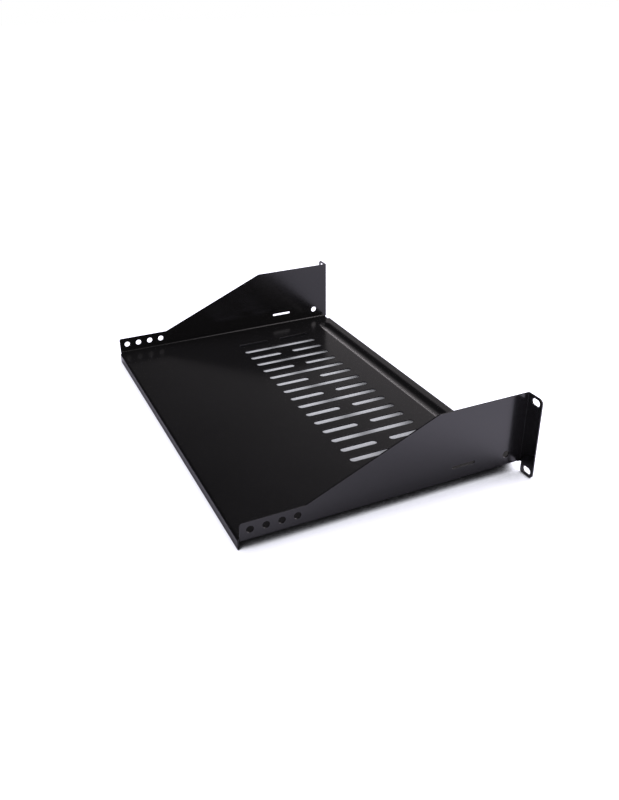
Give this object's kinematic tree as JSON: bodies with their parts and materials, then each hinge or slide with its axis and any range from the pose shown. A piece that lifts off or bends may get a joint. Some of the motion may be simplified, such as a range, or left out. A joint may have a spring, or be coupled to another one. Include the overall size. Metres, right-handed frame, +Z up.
{
  "type": "cantilever rack shelf",
  "caption": "Vented cantilever shelf for a standard equipment rack: one folded steel sheet with tapered side panels, slotted rack ears, a pressed bead and rows of vent slots",
  "frame": {"origin": "on the surface that the shelf stands on, under the middle of its width and depth", "axes": "+X across the rack, to the right as seen from the front; +Y from the front of the rack to the rear; +Z up"},
  "size_m": [0.4826, 0.3024, 0.0881],
  "materials": {
    "powder_coated_steel": "satin"
  },
  "bodies": {
    "root": {"folded_shelf": "powder_coated_steel"}
  },
  "joints": []
}
